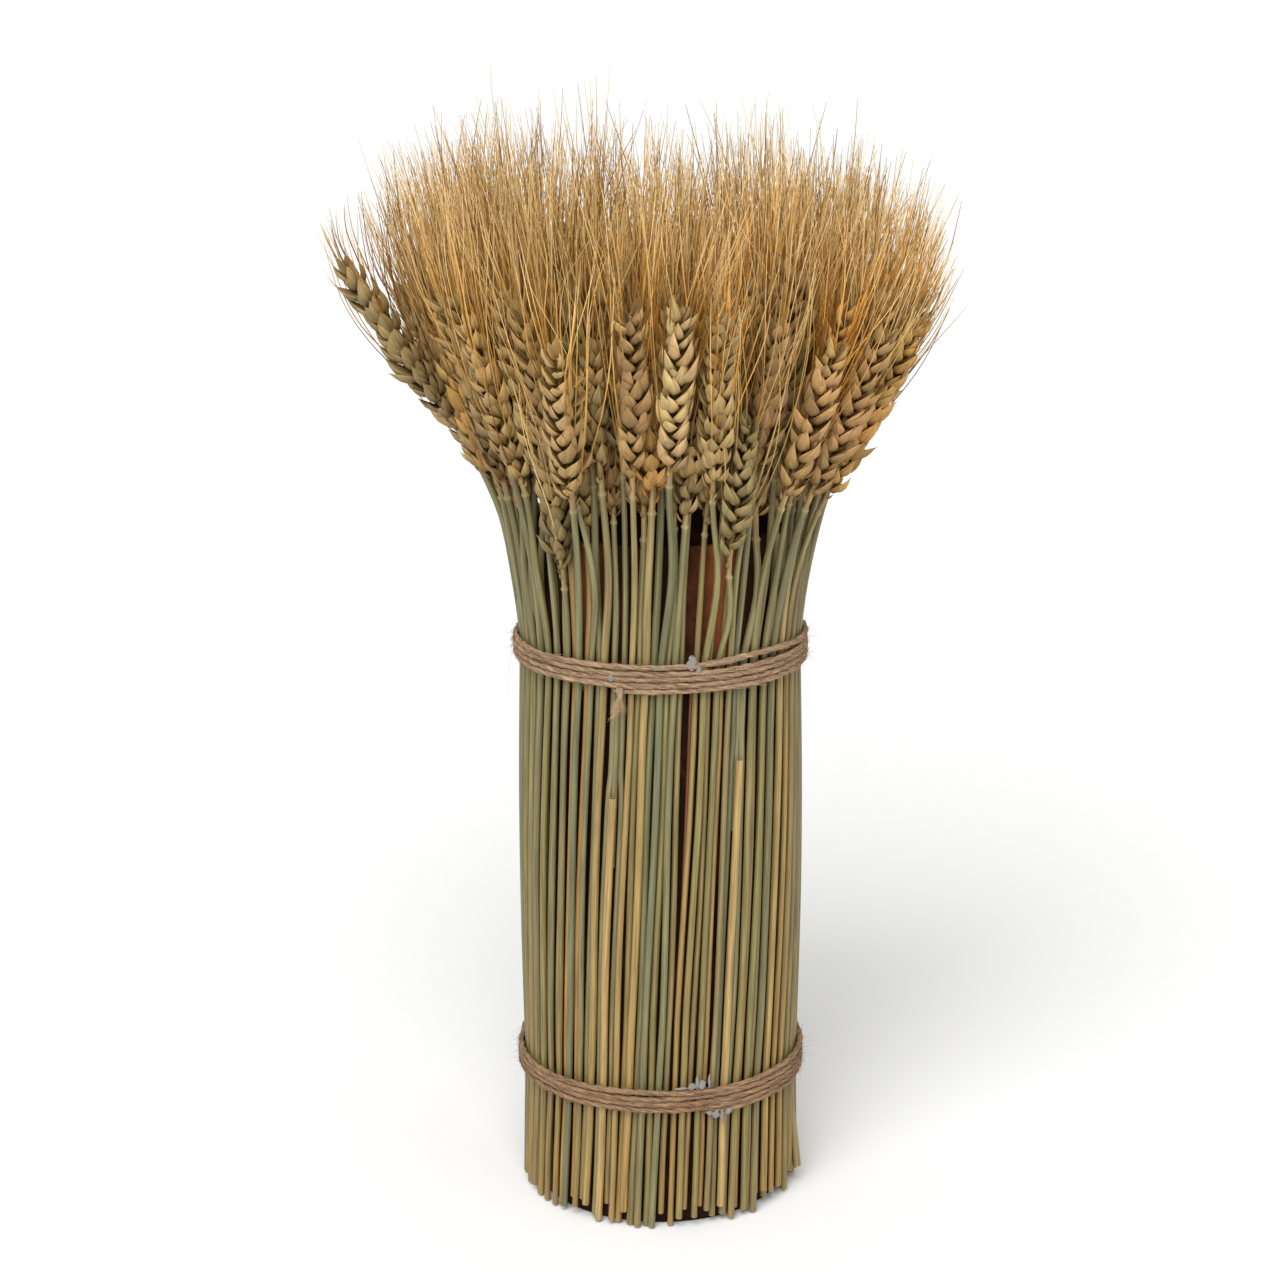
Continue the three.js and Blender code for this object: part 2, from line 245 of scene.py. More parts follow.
class Shape:
    """Gathers closed lofts, each through rings of points, into one mesh."""

    def __init__(self):
        self.points, self.tints, self.corners, self.sizes = [], [], [], []
        self.slots, self.grain, self.bake = [], [], []
        self.count = 0

    def add(self, rings, tint, slot, cells, origin=(0, 0), across=1.0, along=None, folds=1):
        """rings is n lofts of r rings of s points, in millimetres, turning right-handed about
        the way from first to last. cells are their rectangles on the bake map, and origin,
        across and along say how the surface grain lies: its start, width and heights."""
        n, r, s = rings.shape[:3]
        index = self.count + np.arange(n * r * s).reshape(n, r, s)
        self.count += n * r * s
        self.points.append(rings.reshape(-1, 3))
        self.tints.append(np.broadcast_to(tint, rings.shape).reshape(-1, 3))
        around = np.concatenate([index, index[:, :, :1]], 2)
        origin = np.broadcast_to(origin, (n, 2))
        across = np.broadcast_to(across, (n,))
        if along is None:
            along = np.arange(r) / r
        along = np.broadcast_to(along, (n, r))
        u = origin[:, 0, None] + across[:, None] * np.arange(s + 1) / s
        v = origin[:, 1, None] + along
        grain = np.stack(np.broadcast_arrays(u[:, None, :], v[:, :, None]), -1)
        self._walls(around, grain, np.broadcast_to(cells, (n, 4)), folds)
        self._caps(index, grain, np.broadcast_to(cells, (n, 4)))
        self.slots.append(np.full(n * ((r - 1) * s + 2), slot))

    def _walls(self, around, grain, cells, folds):
        def quads(grid):
            steps = [grid[:, :-1, :-1], grid[:, :-1, 1:], grid[:, 1:, 1:], grid[:, 1:, :-1]]
            return np.stack(steps, 3)

        n, r, s = around.shape[0], around.shape[1], around.shape[2] - 1
        self.corners.append(quads(around).ravel())
        self.sizes.append(np.full(n * (r - 1) * s, 4))
        self.grain.append(quads(grain).reshape(-1, 2))
        rows = math.ceil((r - 1) / folds)
        row, side = np.arange(r - 1), np.arange(s)
        x, y, w, h = (cells[:, i, None, None, None] for i in range(4))
        column = (row // rows)[None, :, None, None]
        u = (side[:, None] + np.array([0, 1, 1, 0])) / s
        v = ((row % rows)[:, None] + np.array([0, 0, 1, 1])) / rows
        u = x + w * (column + 0.04 + 0.92 * u[None, None]) / folds
        v = y + h * (CAP_ROOM + (1 - 2 * CAP_ROOM) * v[None, :, None])
        self.bake.append(np.stack(np.broadcast_arrays(u, v), -1).reshape(-1, 2))

    def _caps(self, index, grain, cells):
        n, _, s = index.shape
        turn = 2 * np.pi * np.arange(s) / s
        circle = np.stack([np.cos(turn), np.sin(turn)], -1)
        size = np.minimum(cells[:, 2], cells[:, 3] * CAP_ROOM)[:, None, None] * 0.4
        for ring, order, height in ((0, -1, 0.5 * CAP_ROOM), (-1, 1, 1 - 0.5 * CAP_ROOM)):
            self.corners.append(index[:, ring, ::order].ravel())
            self.sizes.append(np.full(n, s))
            self.grain.append(grain[:, ring, :s][:, ::order].reshape(-1, 2))
            spot = cells[:, :2] + cells[:, 2:] * (0.5, height)
            self.bake.append((spot[:, None] + size * circle[None, ::order]).reshape(-1, 2))

    def build(self, name, materials, sharp=60):
        # Each loft gave its walls and then its two caps, so the slots follow that order
        mesh = bpy.data.meshes.new(name)
        corners, sizes = np.concatenate(self.corners), np.concatenate(self.sizes)
        points = np.concatenate(self.points) * MM
        mesh.vertices.add(len(points))
        mesh.vertices.foreach_set("co", points.astype(np.float32).ravel())
        mesh.loops.add(len(corners))
        mesh.loops.foreach_set("vertex_index", corners.astype(np.int32))
        mesh.polygons.add(len(sizes))
        starts = np.concatenate([[0], np.cumsum(sizes)[:-1]]).astype(np.int32)
        mesh.polygons.foreach_set("loop_start", starts)
        mesh.polygons.foreach_set("material_index", np.concatenate(self.slots).astype(np.int32))
        mesh.polygons.foreach_set("use_smooth", np.ones(len(sizes), bool))
        mesh.update(calc_edges=True)
        for layer, found in (("OFBake", self.bake), ("grain", self.grain)):
            uv = mesh.uv_layers.new(name=layer).uv
            uv.foreach_set("vector", np.concatenate(found).astype(np.float32).ravel())
        tint = mesh.attributes.new("tint", "FLOAT_COLOR", "POINT")
        color = np.concatenate([np.concatenate(self.tints), np.ones((len(points), 1))], 1)
        tint.data.foreach_set("color", color.astype(np.float32).ravel())
        for material in materials:
            mesh.materials.append(material)
        mesh.set_sharp_from_angle(angle=math.radians(sharp))
        piece = bpy.data.objects.new(name, mesh)
        bpy.context.scene.collection.objects.link(piece)
        return piece


def tube_rings(line, radius, sides, along=None, turn=0.0, reference=(0.0, 1.0, 0.0)):
    """Rings of points round lines of shape (n, r, 3)."""
    if along is None:
        along = unit(np.gradient(line, axis=1))
    x = unit(np.cross(np.asarray(reference), along))
    y = np.cross(along, x)
    angle = 2 * np.pi * np.arange(sides) / sides + turn
    offset = x[:, :, None] * np.cos(angle)[:, None] + y[:, :, None] * np.sin(angle)[:, None]
    return line[:, :, None] + np.asarray(radius)[:, :, None, None] * offset


# ---- Materials ----

BLOTCHED = (0.52, 0.72)  # where in the noise the blotches start and are full


def add_node(tree, kind, inputs=(), **settings):
    node = tree.nodes.new(kind)
    for name, value in settings.items():
        setattr(node, name, value)
    for name, value in dict(inputs).items():
        if isinstance(value, bpy.types.NodeSocket):
            tree.links.new(value, node.inputs[name])
        else:
            node.inputs[name].default_value = value
    return node


def grain_noise(tree, stretch, detail=3.0, shear=None):
    """Noise that lies along the surface grain: stretch is its number of spots a millimetre."""
    grain = add_node(tree, "ShaderNodeUVMap", uv_map="grain").outputs[0]
    if shear is not None:
        parts = add_node(tree, "ShaderNodeSeparateXYZ", {"Vector": grain})
        terms = {0: parts.outputs[1], 1: shear, 2: parts.outputs[0]}
        slid = add_node(tree, "ShaderNodeMath", terms, operation="MULTIPLY_ADD")
        joined = {"X": slid.outputs[0], "Y": parts.outputs[1]}
        grain = add_node(tree, "ShaderNodeCombineXYZ", joined).outputs[0]
    terms = {0: grain, 1: (*stretch, 1.0)}
    scaled = add_node(tree, "ShaderNodeVectorMath", terms, operation="MULTIPLY")
    noise = {"Vector": scaled.outputs[0], "Scale": 1.0, "Detail": detail, "Roughness": 0.6}
    return add_node(tree, "ShaderNodeTexNoise", noise).outputs["Fac"]


def ranged(tree, value, low, high, start=0.25, end=0.75):
    spread = {"Value": value, "From Min": start, "From Max": end, "To Min": low, "To Max": high}
    return add_node(tree, "ShaderNodeMapRange", spread).outputs[0]


def mixed(tree, factor, a, b):
    node = add_node(tree, "ShaderNodeMix", data_type="RGBA")
    for socket, value in ((node.inputs[0], factor), (node.inputs[6], a), (node.inputs[7], b)):
        if isinstance(value, bpy.types.NodeSocket):
            tree.links.new(value, socket)
        else:
            socket.default_value = value
    return node.outputs[2]


def plant_material(
    name, fine, blotch, shades, stain, stain_share, bump, rough, shear=None, shine=0.4
):
    """Tinted, streaked along its grain and stained in blotches. fine and blotch are spots a
    millimetre across and along, shades and rough run from the streaks' lows to their highs,
    and bump is the relief's strength and depth."""
    material = bpy.data.materials.new(name)
    material.use_nodes = True
    tree = material.node_tree
    shader = tree.nodes["Principled BSDF"]
    tint = {"attribute_name": "tint", "attribute_type": "GEOMETRY"}
    tint = add_node(tree, "ShaderNodeAttribute", **tint).outputs["Color"]
    streak = grain_noise(tree, fine, shear=shear)
    terms = {0: tint, "Scale": ranged(tree, streak, *shades)}
    streaked = add_node(tree, "ShaderNodeVectorMath", terms, operation="SCALE").outputs[0]
    blotches = grain_noise(tree, blotch, detail=4.0)
    blotches = ranged(tree, blotches, 0.0, stain_share, *BLOTCHED)
    color = mixed(tree, blotches, streaked, (*stain, 1.0))
    tree.links.new(color, shader.inputs["Base Color"])
    tree.links.new(ranged(tree, streak, *rough), shader.inputs["Roughness"])
    relief = {"Height": streak, "Strength": bump[0], "Distance": bump[1]}
    tree.links.new(add_node(tree, "ShaderNodeBump", relief).outputs[0], shader.inputs["Normal"])
    shader.inputs["Specular IOR Level"].default_value = shine
    return material


STRAW = plant_material(
    "straw_skin", fine=(1.2, 0.03), blotch=(0.5, 0.035), shades=(0.5, 1.46),
    stain=(0.14, 0.085, 0.03), stain_share=0.4, bump=(0.7, 0.00014), rough=(0.62, 0.42),
)
HUSK = plant_material(
    "husk_skin", fine=(1.7, 0.1), blotch=(0.35, 0.16), shades=(0.62, 1.32),
    stain=(0.2, 0.125, 0.045), stain_share=0.4, bump=(0.9, 0.00022), rough=(0.68, 0.48),
    shine=0.3,
)
AWN = plant_material(
    "awn_skin", fine=(0.6, 0.1), blotch=(0.2, 0.05), shades=(0.82, 1.14),
    stain=(0.36, 0.22, 0.08), stain_share=0.3, bump=(0.2, 0.00004), rough=(0.7, 0.55),
    shine=0.15,
)
JUTE = plant_material(
    "jute_fibre", fine=(1.5, 0.1), blotch=(0.3, 0.06), shades=(0.36, 1.6),
    stain=(0.19, 0.11, 0.055), stain_share=0.55, bump=(1.0, 0.0006), rough=(0.95, 0.8),
    shear=0.3,
)
BOARD = plant_material(
    "rust_board", fine=(0.5, 0.2), blotch=(0.06, 0.04), shades=(0.7, 1.2),
    stain=(0.13, 0.035, 0.02), stain_share=0.7, bump=(0.5, 0.0003), rough=(0.95, 0.75),
    shine=0.1,
)
GLUE = plant_material(
    "clear_glue", fine=(0.8, 0.8), blotch=(0.3, 0.3), shades=(0.85, 1.05),
    stain=(0.40, 0.38, 0.36), stain_share=0.5, bump=(0.4, 0.0003), rough=(0.32, 0.2),
)

# ---- Straws ----

STRAW_SIDES = 10
STEM_POINTS, CUT_STRAW_POINTS, CUT_STRAW_RADIUS = 42, 34, 1.6
# Rise along the straw, and share of its radius, of the rings that make its end a short hollow
HOLLOW_END = ((2.5, 0.5), (0.25, 0.56), (0.0, 0.72), (0.06, 0.95), (0.4, 1.0))
WAVER, WAVER_CALM = 0.42, 30.0  # calm within so far of each tie
CROSSING = 0.6  # how far a crooked stem stands out, for how far it leans aside
COLLAR_RISES = (-1.1, -0.5, 0.0, 0.6, 1.3)
COLLAR_SWELL = (1.1, 1.34, 1.4, 1.1, 0.92)
COLLAR_BLUR = 1.1
NIPPED = 14.0  # the lower tie nips the straw within so far of it
BACK_STRAW_RING, BACK_STRAW_POINTS = 53.9, 24
BACK_STRAW_CELL = (0.965, 0.0, 0.03, 1.0)
BACK_STRAW_DROP = 30.0  # below the top of the cut straw that it stands behind
GAP_STRAW_SIDE = 0.5  # of a place beyond the gap's middle
GAP_STRAW_RADIUS, BACK_STRAW_RADIUS = 0.6, 1.3
# Painted shade: the thin straw in the gap takes the tube's rust colour darkened, as the shaded tube
# looks through the gap
GAP_SHADE_TINT = np.array([0.13, 0.042, 0.015])
GAP_SHIFTS = (0.0, 1.25, 0.8, 0.4)  # how far the straws beside the gap close it low down
GAP_OPEN, GAP_CLOSED = -0.2, 0.8  # shares of those shifts above and below
GAP_FROM, GAP_RUN, GAP_FADE = 175.0, 80.0, 60.0
GAP_CLOSING = 0.7  # how far the neighbours of a cut straw close in above its top
CLOSING_RUN, CLOSING_FADE = 9.0, 40.0
STRAW_TINTS = np.array([
    (0.190, 0.176, 0.080), (0.158, 0.158, 0.080), (0.222, 0.178, 0.064), (0.270, 0.202, 0.077),
    (0.340, 0.232, 0.080), (0.390, 0.210, 0.054), (0.200, 0.124, 0.048), (0.225, 0.190, 0.088),
])
STRAW_ODDS = np.array([0.2, 0.15, 0.21, 0.16, 0.07, 0.04, 0.05, 0.12])
GREEN_STEM = np.array([0.236, 0.208, 0.094])
COLLAR_TINT = np.array([0.37, 0.28, 0.125])
GOLDEN_FOOT = np.array([0.34, 0.192, 0.052])
NECK_TINT = np.array([0.40, 0.27, 0.105])
CUT_TINT = np.array([0.42, 0.28, 0.105])
# Painted shade deep inside the hollow cut ends of the straws
HOLLOW_SHADE_TINT = np.array([0.09, 0.06, 0.03])


def straw_line(stalk, z, phase):
    """The straw's middle with a slight waver, and the way it runs."""
    wave, start, crooked = phase
    line = middle(stalk, z)
    ahead = middle(stalk, np.asarray(z) + 0.5) - middle(stalk, np.asarray(z) - 0.5)
    angle = place_angle(stalk.place)
    sideways = np.array([math.cos(angle), math.sin(angle), 0.0])
    calm = np.clip(np.abs(z - UPPER_TIE) / WAVER_CALM, 0, 1)
    calm = calm * np.clip(np.abs(z - LOWER_TIE) / WAVER_CALM, 0, 1)
    waver = WAVER * calm * np.sin(z / wave + start)
    risen = np.clip((z - UPPER_TIE) / (stalk.base - UPPER_TIE), 0, 1)
    waver = waver + crooked * np.sin(np.pi * risen) ** 2
    beside = abs(stalk.place - GAP_PLACE)
    if 0 < beside < len(GAP_SHIFTS):
        closed = GAP_OPEN + (GAP_CLOSED - GAP_OPEN) * np.clip((GAP_FROM - z) / GAP_RUN, 0, 1)
        closed = closed * np.clip((stalk.base - z) / GAP_FADE, 0, 1)
        waver = waver + GAP_SHIFTS[beside] * np.sign(GAP_PLACE - stalk.place) * closed
    for _, place, top in CUT_STRAWS:
        if abs(stalk.place - place) == 1:
            closed = np.clip((z - top) / CLOSING_RUN, 0, 1)
            closed = closed * np.clip((stalk.base - z) / CLOSING_FADE, 0, 1)
            waver = waver + GAP_CLOSING * (place - stalk.place) * closed
    outwards = np.array([math.sin(angle), -math.cos(angle), 0.0])
    crossing = CROSSING * np.abs(crooked) * np.sin(np.pi * risen) ** 2
    return line + waver[:, None] * sideways + crossing[:, None] * outwards, unit(ahead)


def straw_rings(stalk, z, radius, phase, hollow_top):
    """Rings up a straw, with the cut end open as a short hollow at the foot, or at both ends."""
    line, along = straw_line(stalk, z, phase)
    radius = np.array(radius, float)
    rings = [(line[0] + along[0] * rise, along[0], radius[0] * share) for rise, share in HOLLOW_END]
    rings += list(zip(line[1:-1], along[1:-1], radius[1:-1]))
    if hollow_top:
        for rise, share in reversed(HOLLOW_END):
            rings.append((line[-1] - along[-1] * rise, along[-1], radius[-1] * share))
    else:
        rings.append((line[-1], along[-1], radius[-1]))
    line, along, radius = (np.array(part)[None] for part in zip(*rings))
    return tube_rings(line, radius, STRAW_SIDES, along), line


def straw_tint(rng):
    tint = STRAW_TINTS[rng.choice(len(STRAW_TINTS), p=STRAW_ODDS)]
    return tint * rng.uniform(0.9, 1.12) * rng.uniform(0.96, 1.04, 3)


def add_stem(shape, stalk, rng, cell):
    """The straw from its cut end through its collar and neck, and on as the ear's spine."""
    collar = stalk.base - rng.uniform(4.0, 9.0)
    body = np.linspace(stalk.foot, collar - 3.0, STEM_POINTS)
    neck = collar + np.array(COLLAR_RISES)
    spine = np.linspace(stalk.base, between(stalk.base, stalk.tip, 0.96), 7)
    z = np.concatenate([body, neck, spine])
    full = stalk.straw_radius
    at = [0, LOWER_TIE - NIPPED, LOWER_TIE, LOWER_TIE + NIPPED]
    at += [UPPER_TIE, UPPER_TIE + 20, stalk.base, stalk.tip]
    size = full * np.array([1.04, 1.0, 0.94, 1.0, 0.97, 1.04, 0.84, 0.36])
    radius = np.interp(z, at, size)
    radius[STEM_POINTS : STEM_POINTS + len(neck)] *= COLLAR_SWELL
    rings, line = straw_rings(stalk, z, radius, stalk.phase, False)
    low = straw_tint(rng)
    high = low * 0.45 + GREEN_STEM * rng.uniform(0.62, 1.22) * 0.55
    heights = line[0, :, 2]
    rise = np.clip((heights - UPPER_TIE + 50) / 90, 0, 1)[:, None]
    foot = np.clip(1 - heights / rng.uniform(60, 200), 0, 1)[:, None] * rng.uniform(0, 0.75)
    tint = low * (1 - rise) + high * rise
    tint = tint * (1 - foot) + GOLDEN_FOOT * foot
    golden = np.clip((heights - collar - 0.6) / 1.5, 0, 1)[:, None]
    tint = tint * (1 - golden) + NECK_TINT * rng.uniform(0.85, 1.15) * golden
    ring = np.exp(-(((heights - collar) / COLLAR_BLUR) ** 2))[:, None]
    tint = tint * (1 - ring) + COLLAR_TINT * ring
    # Painted shade in the hollow at the cut end
    tint[0] = tint[1] = HOLLOW_SHADE_TINT
    tint[2:4] = CUT_TINT
    width, start = 2 * np.pi * full, rng.uniform(0, 500, 2)
    shape.add(rings, tint[None, :, None], 0, cell, start, width, heights)
    stalk.collar = collar


# ---- Ears ----

HUSK_STATIONS = np.array([0.0, 0.08, 0.2, 0.36, 0.54, 0.72, 0.88, 1.0])
HUSK_WIDTHS = np.array([0.38, 0.74, 0.97, 1.0, 0.88, 0.58, 0.2, 0.03])
# Across and out from the husk's middle: flat behind, keeled in front
HUSK_SECTION = np.array([
    (0, -0.16), (0.6, -0.1), (1, 0.02), (0.62, 0.62), (0, 1.15), (-0.62, 0.62), (-1, 0.02), (-0.6, -0.1)
])
# For each husk of a spikelet: sideways start, rise, lean out, lean sideways, length, width,
# depth, how far it faces sideways, whether it bears an awn
HUSKS = np.array([
    (-1.5, 0.0, 0.22, -0.34, 10.4, 5.6, 1.8, -0.7, 0),
    (1.5, 0.0, 0.22, 0.34, 10.4, 5.6, 1.8, 0.7, 0),
    (-1.1, 1.4, 0.34, -0.19, 12.8, 5.9, 2.5, -0.42, 1),
    (1.1, 1.4, 0.34, 0.19, 12.8, 5.9, 2.5, 0.42, 1),
    (0.0, 3.2, 0.25, 0.0, 11.6, 5.2, 2.4, 0.0, 1),
])
SPIKELET_STEP = 4.0
BRISTLE_HUSK = 9.0  # full length of the small husks below the first spikelets
HUSK_WRAP = 11.0  # how much of the surface grain goes round a husk
ODD_HUSK_SHARE, ODD_HUSK_LEAN = 0.12, 0.3  # the few husks that stand away
ZONE_SHADES = (0.84, 0.94, 0.98, 1.02)  # from the ear's foot to its tip
EAR_TINTS = np.array([
    (0.455, 0.290, 0.108), (0.390, 0.262, 0.100), (0.370, 0.222, 0.080),
    (0.500, 0.280, 0.075), (0.490, 0.335, 0.142), (0.285, 0.202, 0.076),
])
EAR_ODDS = np.array([0.26, 0.24, 0.16, 0.16, 0.1, 0.08])
GREEN_HEADS = (-28, -14, 8)  # the places whose ears have the last tint


def husk_rings(start, forwards, out, length, width, depth, curl):
    """Boat-shaped husks with a keel, a pointed tip and an arched back."""
    out = unit(out - (out * forwards).sum(-1, keepdims=True) * forwards)
    across = np.cross(out, forwards)
    t = HUSK_STATIONS
    arch = 0.09 * np.sin(np.pi * t) + curl[:, None] * t**3
    line = start[:, None] + forwards[:, None] * (length[:, None] * t)[..., None]
    line = line + out[:, None] * (length[:, None] * arch)[..., None]
    x = (width / 2)[:, None, None] * HUSK_WIDTHS[:, None] * HUSK_SECTION[:, 0]
    y = depth[:, None, None] * HUSK_WIDTHS[:, None] * HUSK_SECTION[:, 1]
    rings = line[:, :, None] + across[:, None, None] * x[..., None]
    return rings + out[:, None, None] * y[..., None], line[:, -1]


def husk_shade_and_tone():
    """How a husk's colour changes from its foot to its tip and from its keel to its edges: the dark
    foot, tucked under the husk above, and the darker flat back are painted shade; the tip and edges are
    paler.
    """
    t = HUSK_STATIONS[:, None]
    # Painted shade: the husk's foot darkens where it tucks under the husk above
    foot = np.array([0.52, 0.42, 0.27])
    tip = np.array([1.3, 1.3, 1.34])
    along = foot + (1 - foot) * np.clip(t / 0.45, 0, 1) + (tip - 1) * np.clip((t - 0.5) / 0.5, 0, 1)
    edge = 0.88 + 0.3 * np.abs(HUSK_SECTION[:, 0])
    # Painted shade on the husk's flat back
    edge = np.where(HUSK_SECTION[:, 1] < 0, 0.7, edge)
    return along[:, None] * edge[None, :, None]


HUSK_SHADE_AND_TONE = husk_shade_and_tone()
ZONES = len(ZONE_SHADES)
VARIANTS = 2 * ZONES  # looks of husk in one ear, two in each zone


def ear_axis(stalk, share):
    z = between(stalk.base, stalk.tip, share)
    point = middle(stalk, z)
    bow = 4 * share * (1 - share) * stalk.bow
    return point + bow[:, None] * stalk.across


def add_ear(shape, stalk, rng, cells, awn_cells):
    count = int(round(stalk.length / SPIKELET_STEP))
    number = np.arange(count)
    share = 0.02 + 0.9 * number / (count - 1)
    centre = ear_axis(stalk, share)
    up = unit(ear_axis(stalk, share + 0.01) - ear_axis(stalk, share - 0.01))
    face = np.array([math.cos(stalk.facing), math.sin(stalk.facing), 0.0])
    row = unit(face - (face * up).sum(-1, keepdims=True) * up)
    side = np.cross(up, row)
    flip = np.where(number % 2, 1.0, -1.0)[:, None]
    row, side = row * flip, side * flip
    grow = np.interp(share, [0, 0.1, 0.3, 0.6, 1], [0.62, 0.84, 0.98, 0.9, 0.62])
    grow = grow * rng.uniform(0.92, 1.08, count) * stalk.plump

    # One row per husk, spikelet by spikelet
    spikelet = np.repeat(number, len(HUSKS))
    husk = np.tile(HUSKS, (count, 1))
    g, u, o, s = grow[spikelet], up[spikelet], row[spikelet], side[spikelet]
    jitter = rng.normal(0, 0.12, (len(husk), 3))
    start = centre[spikelet] + o * 0.6 + s * (husk[:, 0] * g)[:, None]
    start = start + u * (husk[:, 1] * g)[:, None]
    lean = husk[:, 2] * stalk.openness * rng.uniform(0.85, 1.15, len(husk))
    lean = lean + np.where(rng.uniform(0, 1, len(husk)) < ODD_HUSK_SHARE, ODD_HUSK_LEAN, 0.0)
    forwards = unit(u + o * lean[:, None] + s * husk[:, 3, None] * stalk.openness + jitter)
    out = o * (1 - np.abs(husk[:, 7, None])) + s * husk[:, 7, None]
    curl = rng.uniform(-0.03, 0.22, len(husk))
    size = g * rng.uniform(0.86, 1.12, len(husk))
    parts = [start, forwards, out, husk[:, 4] * size, husk[:, 5] * size, husk[:, 6] * size, curl]
    zone = np.minimum((share[spikelet] * ZONES).astype(int), ZONES - 1)

    # Small bristly husks between the collar and the first spikelets
    few = rng.integers(3, 6)
    low = np.sort(rng.uniform(0.2, 1.0, few))[:, None]
    turn = rng.uniform(0, 2 * np.pi, few)
    spread = np.cos(turn)[:, None] * row[0] + np.sin(turn)[:, None] * side[0]
    foot = middle(stalk, stalk.collar + 1) * (1 - low) + middle(stalk, stalk.base) * low
    scale = rng.uniform(0.35, 0.6, few) * BRISTLE_HUSK
    lean = rng.uniform(0.25, 0.6, few)[:, None]
    more = [foot + spread * 0.5, unit(up[0] + spread * lean), spread]
    more += [scale, scale * 0.34, scale * 0.14, rng.uniform(0, 0.12, few)]
    parts = [np.concatenate(pair) for pair in zip(parts, more)]
    zone = np.concatenate([zone, np.zeros(few, int)])

    rings, tips = husk_rings(*parts)
    variant = zone * 2 + rng.integers(0, 2, len(zone))
    looks = stalk.tint * rng.uniform(0.74, 1.26, (VARIANTS, 1))
    looks *= rng.uniform(0.96, 1.04, (VARIANTS, 3))
    looks *= np.array(ZONE_SHADES).repeat(2)[:, None]
    # Each husk's look times the painted shade at its foot and back
    tint = looks[variant][:, None, None] * HUSK_SHADE_AND_TONE
    origin = np.stack([variant * 37.0 + stalk.place * 11, variant * 53.0], -1)
    along = parts[3][:, None] * HUSK_STATIONS
    shape.add(rings, tint, 1, cells[variant], origin, HUSK_WRAP, along)

    odds = np.interp(share[spikelet], [0, 0.6, 1], AWN_ODDS[1 if stalk.held else 0])
    bears = np.flatnonzero((husk[:, 8] > 0) & (rng.uniform(0, 1, len(husk)) < odds))
    found = (tips[bears], parts[1][bears], o[bears], share[spikelet[bears]])
    add_awns(shape, stalk, rng, *found, awn_cells)


# ---- Awns ----

AWN_ODDS = ((0.6, 0.75, 0.85), (0.36, 0.66, 0.95))  # low, middle and high on a plain and a held ear
AWN_SIDES, AWN_POINTS, AWN_THICKNESS, LONGEST_AWN = 3, 10, 0.25, 105.0
LOOSE_AWN_SHARE, LOOSE_SPREAD, CLOSE_SPREAD = 0.08, 0.3, 0.1
AWN_OUT, AWN_ON = 0.14, 0.12  # lean outward, and as the husk leans
AWN_TURNED = 0.6  # of the way along the awn, where it has finished turning
TRIM_STEPS, TRIM = 24, 0.94  # an awn that stands above the mass is cut shorter step by step
AWN_TINTS = np.array([(0.74, 0.43, 0.10), (0.80, 0.385, 0.055), (0.78, 0.53, 0.19), (0.54, 0.31, 0.075)])
AWN_TINT_ODDS = np.array([0.4, 0.2, 0.25, 0.15])
AWN_PALE = np.array([0.82, 0.60, 0.30])
AWN_SHADES = np.array([(0.4, 0.31, 0.19), (0.78, 0.72, 0.6), (1.06, 1.04, 0.98), (1.3, 1.32, 1.36)])
# How high the awns stand at each distance from their middle, most of them and the odd ones
AWN_MIDDLE = -7.0
DOME_REACH = (0, 60, 90, 104, 112, 120, 126, 132, 140)
DOME_HEIGHT = (446, 444, 437, 427, 414, 398, 374, 325, 250)
DOME_SLOPE = -0.07  # lower towards +X
TUFTS = ((-62, 18, 13), (-10, 8, 8), (47, 9, 7))  # across from the middle, width and rise
ODD_HEIGHT, ODD_REACH, SHORTEST_AWN, HIGHEST_AWN = 30.0, 6.0, 8.0, 478.0


